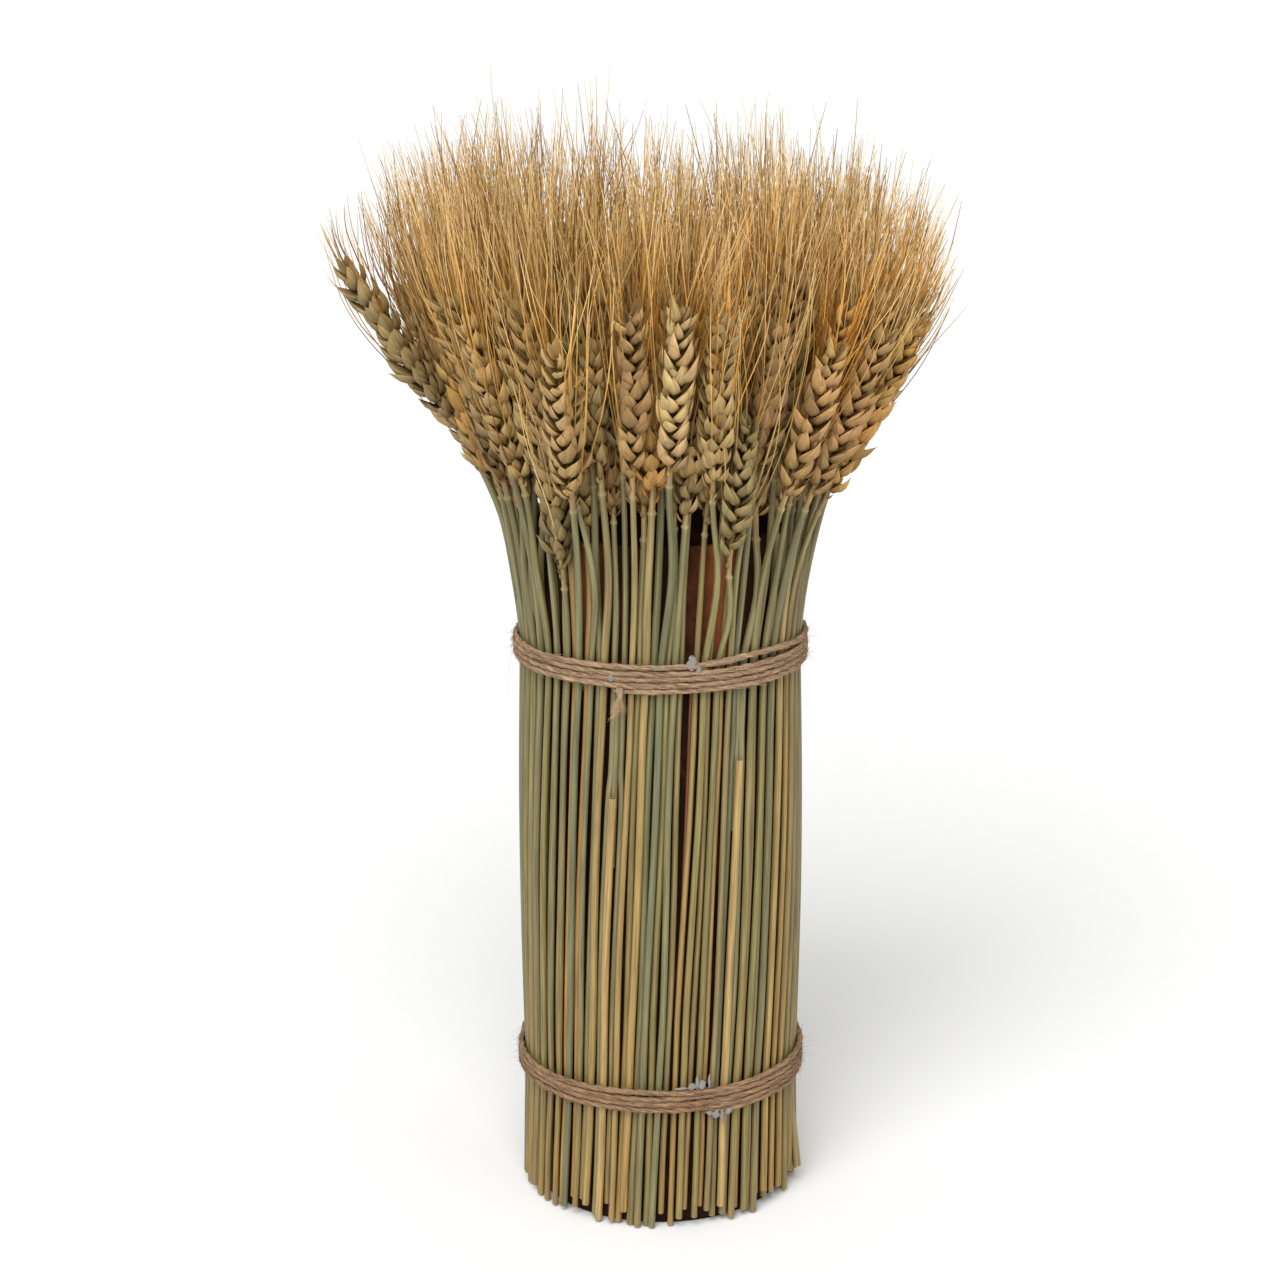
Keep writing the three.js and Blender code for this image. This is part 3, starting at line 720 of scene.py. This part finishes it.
def add_awns(shape, stalk, rng, start, forwards, out, share, cells):
    """Long bristles from the husks' tips: they spread from the ear and then run up with it."""
    n = len(start)
    up = unit(middle(stalk, stalk.tip) - middle(stalk, stalk.base))
    brush = middle(stalk, stalk.top) - middle(stalk, stalk.tip)
    beyond = (stalk.top - stalk.tip) * stalk.awn_growth * rng.triangular(0.4, 0.85, 1.3, n)
    length = np.minimum((1 - share) * stalk.length * 0.8 + beyond, LONGEST_AWN)
    loose = np.where(rng.uniform(0, 1, n) < LOOSE_AWN_SHARE, LOOSE_SPREAD, CLOSE_SPREAD)[:, None]
    spread = rng.normal(0, 1, (n, 3)) * loose + rng.normal(0, 0.05, 3)
    late = unit(unit(brush) + out * AWN_OUT + forwards * AWN_ON + spread)
    early = unit(forwards * 0.5 + up * 0.7)
    q = np.linspace(0, 1, AWN_POINTS)
    turn = np.clip(q / AWN_TURNED, 0, 1)[:, None]
    way = unit(early[:, None] * (1 - turn) + late[:, None] * turn)
    bend = rng.normal(0, 0.07, (n, 1, 3)) * np.sin(np.pi * q * 1.3)[:, None]
    way = unit(way + bend)
    run = np.concatenate([np.zeros((n, 1, 3)), np.cumsum(way[:, :-1], 1)], 1) / (AWN_POINTS - 1)
    line = start[:, None] - forwards[:, None] * 0.6
    slack = np.minimum(rng.exponential(9.0, n) + stalk.tuft, ODD_HEIGHT)
    inset = rng.uniform(0, ODD_REACH, n)
    for _ in range(TRIM_STEPS):
        tip = line[:, 0] + run[:, -1] * length[:, None]
        away = np.hypot(tip[:, 0] - AWN_MIDDLE, tip[:, 1]) - inset
        dome = np.interp(away, DOME_REACH, DOME_HEIGHT) + DOME_SLOPE * tip[:, 0]
        for across, width, rise in TUFTS:
            dome = dome + rise * np.exp(-(((tip[:, 0] - across) / width) ** 2))
        outside = tip[:, 2] > np.minimum(dome + slack, HIGHEST_AWN)
        length = np.where(outside, np.maximum(length * TRIM, SHORTEST_AWN), length)
    line = line + run * length[:, None, None]
    taper = np.interp(q, [0, 0.1, 0.7, 1], [1.2, 1, 0.75, 0.35])
    radius = AWN_THICKNESS * rng.uniform(0.8, 1.2, n)[:, None] * taper
    rings = tube_rings(line, radius, AWN_SIDES, turn=0.4)
    look = rng.integers(0, len(AWN_SHADES), n)
    pale = np.clip((q - 0.3) / 0.7, 0, 1)[:, None]
    tint = stalk.awn_tint * (1 - pale) + AWN_PALE * pale
    # Painted shade and light along the awn: darker near its base among the husks, a little lighter at
    # the tip
    tint = tint * np.interp(q, [0, 0.4, 1], [0.6, 1, 1.08])[:, None]
    tint = tint * AWN_SHADES[look][:, None]
    origin = np.stack([look * 31.0, np.full(n, stalk.place * 7.0)], -1)
    shape.add(rings, tint[:, :, None], 2, cells[look], origin, 1.2, q * 60)


# ---- Bunches ----


def bake_cells(order):
    """Rectangles on the bake map for one stalk of up to three: straw, awn looks, husk looks."""
    straw = np.array([0.005 + 0.07 * order, 0.0, 0.06, 1.0])
    looks = range(len(AWN_SHADES))
    awns = [[0.22 + 0.046 * order + 0.0112 * look, 0.0, 0.0102, 1.0] for look in looks]
    husks = []
    for variant in range(VARIANTS):
        column, line = divmod(order * VARIANTS + variant, 6)
        husks.append([0.365 + 0.157 * column, 0.003 + 0.1657 * line, 0.15, 0.16])
    return straw, np.array(awns), np.array(husks)


def dress_stalk(stalk, rng):
    """Everything about a stalk that the CAD leaves open."""
    stalk.straw_radius = rng.uniform(1.15, 1.72)
    stalk.phase = (rng.uniform(26, 44), rng.uniform(0, 2 * np.pi), rng.normal(0, 1.5))
    stalk.facing = rng.uniform(0, 2 * np.pi)
    turn = rng.uniform(0, 2 * np.pi)
    stalk.across = np.array([math.cos(turn), math.sin(turn), 0.0])
    stalk.bow = rng.uniform(-1.0, 1.0)
    stalk.plump = rng.uniform(1.02, 1.16) * min(1.0, 0.6 + 0.4 * stalk.length / 66)
    stalk.openness = rng.uniform(0.85, 1.25)
    tint = EAR_TINTS[rng.choice(len(EAR_TINTS), p=EAR_ODDS)]
    tint = EAR_TINTS[-1] if stalk.place in GREEN_HEADS else tint
    stalk.tint = tint * rng.uniform(0.92, 1.08)
    stalk.awn_growth = rng.uniform(0.8, 1.2)
    stalk.tuft = rng.normal(-6, 13)
    awn_tint = AWN_TINTS[rng.choice(len(AWN_TINTS), p=AWN_TINT_ODDS)]
    stalk.awn_tint = awn_tint * rng.uniform(0.6, 1.12)


def add_back_straw(shape, place, low, radius, tint):
    """A thin straw at the back of the ring, from a height up to the upper winding."""
    stalk = plan_stalk(math.floor(place))
    stalk.place = place
    stalk.tie_radius, stalk.slope = BACK_STRAW_RING, (0, 0)
    z = np.linspace(low, UPPER_TIE, BACK_STRAW_POINTS)
    line = middle(stalk, z)[None]
    rings = tube_rings(line, np.full((1, BACK_STRAW_POINTS), radius), STRAW_SIDES)
    shape.add(rings, tint, 0, BACK_STRAW_CELL, (place * 7.0, 0), 5.0, z)


def make_bunch(number, bunch):
    shape = Shape()
    if number == 1:
        place = GAP_PLACE + GAP_STRAW_SIDE
        # A thin straw in the gap, painted as the shaded tube behind it
        add_back_straw(shape, place, LOWER_TIE, GAP_STRAW_RADIUS, GAP_SHADE_TINT)
    for _, place, top in CUT_STRAWS:
        if bunch[-1].place == place - 1:
            low = top - BACK_STRAW_DROP
            add_back_straw(shape, place, low, BACK_STRAW_RADIUS, GREEN_STEM * 0.85)
    for order, stalk in enumerate(bunch):
        rng = np.random.default_rng(1000 + stalk.place)
        dress_stalk(stalk, rng)
        straw_cell, awn_cells, husk_cells = bake_cells(order)
        add_stem(shape, stalk, rng, straw_cell)
        add_ear(shape, stalk, rng, husk_cells, awn_cells)
    piece = shape.build(f"wheat_stalks_{number:02d}", [STRAW, HUSK, AWN])
    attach(piece, "root")
    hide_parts(f"stalk_bunch_{number:02d}")


def make_cut_straw(node, place, top):
    """A straw with no ear, golden, cut at both ends."""
    stalk = plan_stalk(place)
    stalk.base, stalk.bend_from, stalk.slope = 400.0, 300.0, (0, 0)
    rng = np.random.default_rng(500 + place)
    z = np.linspace(stalk.foot, top, CUT_STRAW_POINTS)
    radius = np.full(CUT_STRAW_POINTS, CUT_STRAW_RADIUS)
    rings, line = straw_rings(stalk, z, radius, (33.0, 1.0, 0.0), True)
    tint = np.broadcast_to(CUT_TINT, (line.shape[1], 3)).copy()
    # Painted shade in the hollows at both cut ends
    tint[[0, 1, -2, -1]] = HOLLOW_SHADE_TINT
    shape = Shape()
    heights = line[0, :, 2]
    shape.add(rings, tint[None, :, None], 0, (0, 0, 1, 1), rng.uniform(0, 500, 2), 10.0, heights)
    piece = shape.build(node.replace("cut_straw", "golden_straw"), [STRAW])
    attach(piece, "root")
    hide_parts(node)


# ---- Tube ----

TUBE_SIDES = 96
# Least share of the tube's own rust colour within the painted light above the upper winding; the rest
# there is painted shade
LEAST_LIT_SHARE = 0.02
TUBE_TINT = np.array([0.40, 0.125, 0.04])
TUBE_SHADE = np.array([0.020, 0.007, 0.003])  # inside, and below the upper winding
# Painted pools of light on the tube: angle from the front, width, and share of its own rust colour that
# shows
PAINTED_LIGHT_SPOTS = [(0.47, 0.13, 1.0), (-0.55, 0.09, 0.7), (1.5, 0.2, 0.8), (2.7, 0.3, 0.9), (-2.0, 0.3, 0.9)]


def make_tube():
    """An open tube with a floor and a softened rim."""
    inside = TUBE_RADIUS - TUBE_WALL
    walls = np.linspace(0.6, TUBE_HEIGHT - 1.2, 25)
    outline = [(TUBE_RADIUS - 0.5, 0.0), *[(TUBE_RADIUS, z) for z in walls]]
    outline += [(TUBE_RADIUS - 0.3, TUBE_HEIGHT - 0.3), (TUBE_RADIUS - 1.2, TUBE_HEIGHT)]
    outline += [(inside + 1.2, TUBE_HEIGHT), (inside + 0.3, TUBE_HEIGHT - 0.3)]
    outline += [(inside, z) for z in walls[:1:-1]] + [(inside, TUBE_WALL)]
    radius, z = np.array(outline).T
    turn = 2 * np.pi * np.arange(TUBE_SIDES) / TUBE_SIDES
    flat = np.stack([np.cos(turn), np.sin(turn)], -1)
    heights = np.broadcast_to(z[:, None, None], (len(z), TUBE_SIDES, 1))
    rings = np.concatenate([radius[:, None, None] * flat, heights], 2)
    steps = np.diff(np.array(outline), axis=0, prepend=outline[:1])
    travelled = np.cumsum(np.hypot(*steps.T))
    shape = Shape()
    around = 2 * np.pi * TUBE_RADIUS
    outer = np.arange(len(z)) < len(walls) + 3
    # Painted light and shade: the tube shows its own rust colour only in painted pools of light above
    # the upper winding, and is painted shade everywhere else
    lit = np.clip((z - UPPER_TIE + 4) / 12, 0, 1) * outer
    facing = np.arctan2(flat[:, 0], -flat[:, 1])
    spots = sum(
        share * np.exp(-((np.angle(np.exp(1j * (facing - at))) / width) ** 2))
        for at, width, share in PAINTED_LIGHT_SPOTS
    )
    # rust is the share of the tube's own colour that the painted light lets show; the rest is painted
    # shade
    rust = lit[:, None] * np.clip(LEAST_LIT_SHARE + spots, 0, 1)
    tint = TUBE_SHADE + (TUBE_TINT - TUBE_SHADE) * rust[..., None]
    shape.add(rings[None], tint[None], 0, (0, 0, 1, 1), (0, 0), around, travelled)
    piece = shape.build("rust_tube", [BOARD], sharp=40)
    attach(piece, "root")
    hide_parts("core_tube")


# ---- Twine ----

PLY_RADIUS = 0.98
PLY_OFFSET = 0.28
PLY_PITCH = 13.0
PLY_SIDES = 7
TWINE_STEP = 1.2
STRAND_WRAP, STRAND_FOLDS = 4.4, 12
STRAND_CELLS = np.array([[0.0, 0.0, 0.46, 1.0], [0.47, 0.0, 0.46, 1.0]])
LUMP_STEP, LUMP_COUNT, LUMP_SIZE = 3.1, 1291, 0.1
WAVER_STEP = 0.06  # of a turn
# From and to which turn the top of each winding parts from the rest, about which angle from the
# front, how widely, and how far it rises: the upper one's at the right, the lower one's in front
UPPER_PARTING = (3.75, 4.7, 0.75, 0.5, 1.7)
LOWER_PARTING = (3.2, 4.7, -0.2, 0.35, 1.0)
LOOSE_COUNT, LOOSE_RADIUS = 420, 0.05
LOOSE_CELL = (0.985, 0.0, 0.012, 1.0)  # on the bake map
LYING_COUNT, LYING_RING = 500, 1.18
LYING_FIBRES = ((1.55, 0.935), (1.2, 0.95), (0.5, 0.965))  # shade and place on the bake map
TAIL_ENDS = ((-0.255, -0.02, 9.5), (-0.275, 0.004, 6.0))  # angle, drift and drop of each end
JUTE_TINT = np.array([0.40, 0.265, 0.155])
BROWN_JUTE = np.array([0.33, 0.205, 0.112])
RUSTY_JUTE, RUSTY_SHARE, RUSTY_WIDTH = np.array([0.36, 0.15, 0.07]), 0.55, 0.13
TAIL_FIBRES, TAIL_FIBRE_RADIUS = 46, 0.085
STANDING_HAIRS = ((-1.32, 9, 61.4), (1.35, 3, 60.5))  # angle, height and ring where each starts
STANDING_WAYS = ((-0.12, -0.05, -1.0), (0.9, -0.2, 0.5))
STANDING_LENGTHS, STANDING_RADIUS = (34.0, 7.0), 0.06


def add_strand(shape, line, tint, rng, thin=None):
    """A two-ply strand along a line; thin is how its thickness changes along it."""
    thin = np.ones(len(line)) if thin is None else thin
    along = unit(np.gradient(line, axis=0))
    out = unit(line * (1, 1, 0))
    out = unit(out - (out * along).sum(-1, keepdims=True) * along)
    side = np.cross(along, out)
    travelled = np.concatenate([[0], np.cumsum(np.linalg.norm(np.diff(line, axis=0), axis=1))])
    turn = 2 * np.pi * travelled / PLY_PITCH
    ring = 2 * np.pi * np.arange(PLY_SIDES) / PLY_SIDES
    for ply in (0, 1):
        swing = turn + ply * np.pi
        offset = out * np.cos(swing)[:, None] + side * np.sin(swing)[:, None]
        middle_line = line + offset * (PLY_OFFSET * thin)[:, None]
        lumps = rng.normal(0, LUMP_SIZE, LUMP_COUNT)
        lumps = 1 + np.interp(travelled, np.arange(LUMP_COUNT) * LUMP_STEP, lumps)
        radius = PLY_RADIUS * thin * np.clip(lumps, 0.75, 1.3)
        around = ring[None] + swing[:, None]
        wall = out[:, None] * np.cos(around)[..., None] + side[:, None] * np.sin(around)[..., None]
        rings = middle_line[:, None] + radius[:, None, None] * wall
        shade = tint * (0.94 if ply else 1.06)
        origin = rng.uniform(0, 900, 2)
        shade = np.broadcast_to(shade, (len(line), 3))[None, :, None]
        cell = STRAND_CELLS[ply]
        shape.add(rings[None], shade, 0, cell, origin, STRAND_WRAP, travelled, STRAND_FOLDS)


def add_fibres(shape, start, way, length, radius, tint, rng, cell, curl=0.5):
    """Hair-thin fibres, each from its start along its own curling way."""
    n, q = len(start), np.linspace(0, 1, 7)
    bend = rng.normal(0, curl, (n, 1, 3)) * q[:, None]
    bend = bend + rng.normal(0, curl, (n, 1, 3)) * (q**2)[:, None]
    step = unit(way[:, None] + bend)[:, :-1] * (np.asarray(length) / 6)[:, None, None]
    line = np.concatenate([start[:, None], start[:, None] + np.cumsum(step, 1)], 1)
    size = np.asarray(radius)[:, None] * np.interp(q, [0, 1], [1, 0.4])
    rings = tube_rings(line, size, 3, reference=(0.31, 0.77, 0.56))
    shape.add(rings, tint, 0, cell, (0, 0), 1.0, q * 8)


def twine_line(height, start_angle, rng, parting):
    """The winding's line: a helix of touching turns that wavers a little."""
    length = 2 * np.pi * TWINE_RING * TWINE_TURNS
    turns = np.linspace(0, TWINE_TURNS, int(length / TWINE_STEP))
    angle = start_angle + 2 * np.pi * turns
    level = height + (TWINE_PITCH - 0.1) * (turns - TWINE_TURNS / 2)
    knots = np.arange(0, TWINE_TURNS + 0.1, WAVER_STEP)
    level = level + np.interp(turns, knots, rng.normal(0, 0.22, len(knots)))
    radius = TWINE_RING - 0.1 + np.interp(turns, knots, rng.normal(0, 0.14, len(knots)))
    facing = (angle + np.pi) % (2 * np.pi) - np.pi
    turn_from, turn_to, middle_angle, width, rise = parting
    chosen = np.clip((turns - turn_from) / 0.05, 0, 1) * np.clip((turn_to - turns) / 0.05, 0, 1)
    away = (facing - middle_angle) / width
    level = level + rise * chosen * np.exp(-(away**2))
    # Both ends dive under the winding
    end = np.clip(np.minimum(turns, TWINE_TURNS - turns) / 0.03, 0, 1)
    radius = radius - 1.2 * (1 - end)
    return np.stack([radius * np.sin(angle), -radius * np.cos(angle), level], -1), facing


def surface_point(angle, z, radius=TWINE_RING + 1.1):
    return np.array([radius * math.sin(angle), -radius * math.cos(angle), z])


def make_twine(node, height, start_angle, parting, seed, jute, rusty=None, tail=False):
    """A winding; rusty is the angle of a rust stain on it."""
    rng = np.random.default_rng(seed)
    line, facing = twine_line(height, start_angle, rng, parting)
    tint = np.broadcast_to(jute, line.shape).copy()
    if rusty is not None:
        near = np.exp(-(((facing - rusty) / RUSTY_WIDTH) ** 2))[:, None]
        near = near * (line[:, 2:] < height + 1.0) * RUSTY_SHARE
        tint = tint * (1 - near) + RUSTY_JUTE * near
    shape = Shape()
    add_strand(shape, line, tint, rng)
    # Fibres that stand away from the strands
    n = LOOSE_COUNT
    chosen = line[rng.integers(20, len(line) - 20, n)]
    out = unit(chosen * (1, 1, 0))
    start = chosen + out * 0.9
    way = unit(rng.normal(0, 1, (n, 3)) + out * 0.5)
    length = rng.triangular(2, 4, 10, n)
    size = np.full(n, LOOSE_RADIUS)
    add_fibres(shape, start, way, length, size, jute * 1.2, rng, LOOSE_CELL, 0.7)
    # Fibres that lie along the strands, some pale and some dark
    for shade, cell_at in LYING_FIBRES:
        at = rng.integers(20, len(line) - 20, LYING_COUNT)
        chosen = line[at]
        around = rng.uniform(-1.1, 1.1, (LYING_COUNT, 1))
        out = unit(chosen * (1, 1, 0))
        start = chosen + LYING_RING * (out * np.cos(around) + UP * np.sin(around))
        way = unit(line[at + 4] - chosen + rng.normal(0, 0.35, chosen.shape))
        length = rng.uniform(4, 12, LYING_COUNT)
        size = rng.uniform(0.07, 0.13, LYING_COUNT)
        cell = (cell_at, 0.0, 0.012, 1.0)
        add_fibres(shape, start, way, length, size, jute * shade, rng, cell, 0.05)
    if tail:
        add_tail(shape, rng, height)
    piece = shape.build(node + "_jute", [JUTE])
    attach(piece, "root")
    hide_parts(node)


def add_tail(shape, rng, height):
    """The twine's frayed ends below the winding at the front, and a few long hairs."""
    q = np.linspace(0, 1, 9)
    for angle, drift, drop in TAIL_ENDS:
        points = [surface_point(angle + drift * t, height - 3.8 - drop * t, 61.0 - 0.9 * t) for t in q]
        line = np.array(points)
        thin = np.interp(q, [0, 0.5, 1], [0.85, 0.7, 0.3])
        add_strand(shape, line, JUTE_TINT * 1.15, rng, thin)
        n = TAIL_FIBRES
        start = line[rng.integers(3, 9, n)] + rng.normal(0, 0.3, (n, 3))
        way = unit(np.array([40 * drift, -0.1, -1.0]) + rng.normal(0, 0.2, (n, 3)))
        length = rng.uniform(3, 7, n)
        size = np.full(n, TAIL_FIBRE_RADIUS)
        add_fibres(shape, start, way, length, size, JUTE_TINT * 1.5, rng, LOOSE_CELL, 0.2)
    start = [surface_point(angle, height + rise, ring) for angle, rise, ring in STANDING_HAIRS]
    way = unit(np.array(STANDING_WAYS))
    size = np.full(len(start), STANDING_RADIUS)
    hair = (np.array(start), way, np.array(STANDING_LENGTHS), size)
    add_fibres(shape, *hair, JUTE_TINT * 1.3, rng, LOOSE_CELL, 0.1)


# ---- Glue ----

GLUE_TINT = np.array([0.25, 0.24, 0.225])
DAB_RINGS, DAB_SIDES = 11, 16
# angle from the front, height, width, height and thickness of each dab
GLUE_DABS = [
    (-0.33, 236.6, 2.4, 2.6, 0.6), (0.205, 243.2, 3.2, 5.6, 0.7), (0.25, 240.0, 1.8, 2.6, 0.6),
    (0.14, 63.4, 5.4, 1.0, 0.6), (0.215, 64.0, 3.2, 2.6, 0.7), (0.25, 65.6, 1.2, 5.4, 0.6),
    (0.285, 64.4, 2.6, 3.6, 0.6), (0.335, 65.4, 1.0, 5.8, 0.6), (0.34, 51.4, 2.2, 2.0, 0.6),
    (0.385, 50.4, 2.8, 3.4, 0.7), (0.43, 49.2, 1.2, 6.0, 0.6), (0.48, 50.8, 3.0, 2.6, 0.6),
]


def make_glue():
    """Dabs of dried glue that hold the twine's turns."""
    rng = np.random.default_rng(77)
    shape = Shape()
    for number, (angle, z, wide, high, thick) in enumerate(GLUE_DABS):
        polar = np.linspace(0.12, np.pi - 0.12, DAB_RINGS)[:, None]
        turn = 2 * np.pi * np.arange(DAB_SIDES) / DAB_SIDES
        lumps = 1 + 0.3 * np.sin(3 * turn + polar * 3 + rng.uniform(0, 6))
        lumps += 0.24 * np.sin(5 * turn - polar * 5 + rng.uniform(0, 6))
        x = 0.5 * wide * np.sin(polar) * np.cos(turn) * lumps
        y = 0.5 * thick * np.sin(polar) * np.sin(turn) * lumps
        w = -0.5 * high * np.cos(polar) * (1 + 0.2 * np.sin(2 * turn))
        right = np.array([math.cos(angle), math.sin(angle), 0.0])
        back = np.array([-math.sin(angle), math.cos(angle), 0.0])
        centre = surface_point(angle, z, TWINE_RING + 1.0)
        rings = centre + x[..., None] * right + y[..., None] * back + w[..., None] * UP
        cell = (0.25 * (number % 4), 0.33 * (number // 4), 0.24, 0.32)
        along = np.arange(DAB_RINGS) * high / DAB_RINGS
        shape.add(rings[None], GLUE_TINT, 0, cell, (number * 9.0, 0), wide * 3, along)
    piece = shape.build("glue_dabs", [GLUE])
    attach(piece, "root")


# ---- Scene ----


def make_camera():
    data = bpy.data.cameras.new("camera")
    data.angle = math.radians(CAMERA_ANGLE)
    data.shift_x = CAMERA_SHIFT
    data.clip_start, data.clip_end = CAMERA_CLIP
    camera = bpy.data.objects.new("camera", data)
    camera.location = CAMERA_PLACE
    camera.rotation_euler = (math.radians(90 - CAMERA_PITCH), 0, 0)
    bpy.context.scene.collection.objects.link(camera)
    bpy.context.scene.camera = camera


def make_floor():
    mesh = bpy.data.meshes.new("floor")
    turn = 2 * np.pi * np.arange(FLOOR_SIDES) / FLOOR_SIDES
    corners = [(FLOOR_RADIUS * math.cos(t), FLOOR_RADIUS * math.sin(t), -FLOOR_SINK) for t in turn]
    mesh.from_pydata(corners, [], [list(range(FLOOR_SIDES))])
    material = bpy.data.materials.new("floor")
    material.use_nodes = True
    shader = material.node_tree.nodes["Principled BSDF"]
    shader.inputs["Base Color"].default_value = (*FLOOR_COLOR, 1)
    shader.inputs["Roughness"].default_value = 0.95
    mesh.materials.append(material)
    floor = bpy.data.objects.new("floor", mesh)
    bpy.context.scene.collection.objects.link(floor)


def make_lights():
    world = bpy.data.worlds.new("studio")
    world.use_nodes = True
    background = world.node_tree.nodes["Background"]
    background.inputs["Color"].default_value = (1, 1, 1, 1)
    seen = add_node(world.node_tree, "ShaderNodeLightPath").outputs["Is Camera Ray"]
    strength = {0: seen, 1: BACKDROP_EXTRA, 2: WORLD_STRENGTH}
    strength = add_node(world.node_tree, "ShaderNodeMath", strength, operation="MULTIPLY_ADD")
    world.node_tree.links.new(strength.outputs[0], background.inputs["Strength"])
    bpy.context.scene.world = world
    sun = bpy.data.lights.new("sun", "SUN")
    sun.energy, sun.angle = SUN_STRENGTH, math.radians(SUN_ANGLE)
    place_light(sun, SUN_PLACE)
    place, watts, size = FILL_LIGHT
    fill = bpy.data.lights.new("fill", "AREA")
    fill.energy, fill.size = watts, size
    place_light(fill, place)


def place_light(data, place):
    light = bpy.data.objects.new(data.name, data)
    light.location = place
    aim = Vector(LIGHTS_AIM) - Vector(place)
    light.rotation_euler = aim.to_track_quat("-Z", "Y").to_euler()
    bpy.context.scene.collection.objects.link(light)


make_camera()
make_floor()
make_lights()
bpy.context.scene.view_settings.view_transform = "Standard"

stalks = [plan_stalk(place) for place in stalk_places()]
settle(stalks)
for number, bunch in enumerate(gather_bunches(stalks), 1):
    make_bunch(number, bunch)
for node, place, top in CUT_STRAWS:
    make_cut_straw(node, place, top)
make_tube()
make_twine("upper_twine", UPPER_TIE, 1.9 * math.pi, UPPER_PARTING, 31, JUTE_TINT, tail=True)
make_twine("lower_twine", LOWER_TIE, 0.1 * math.pi, LOWER_PARTING, 32, BROWN_JUTE, rusty=0.2)
make_glue()
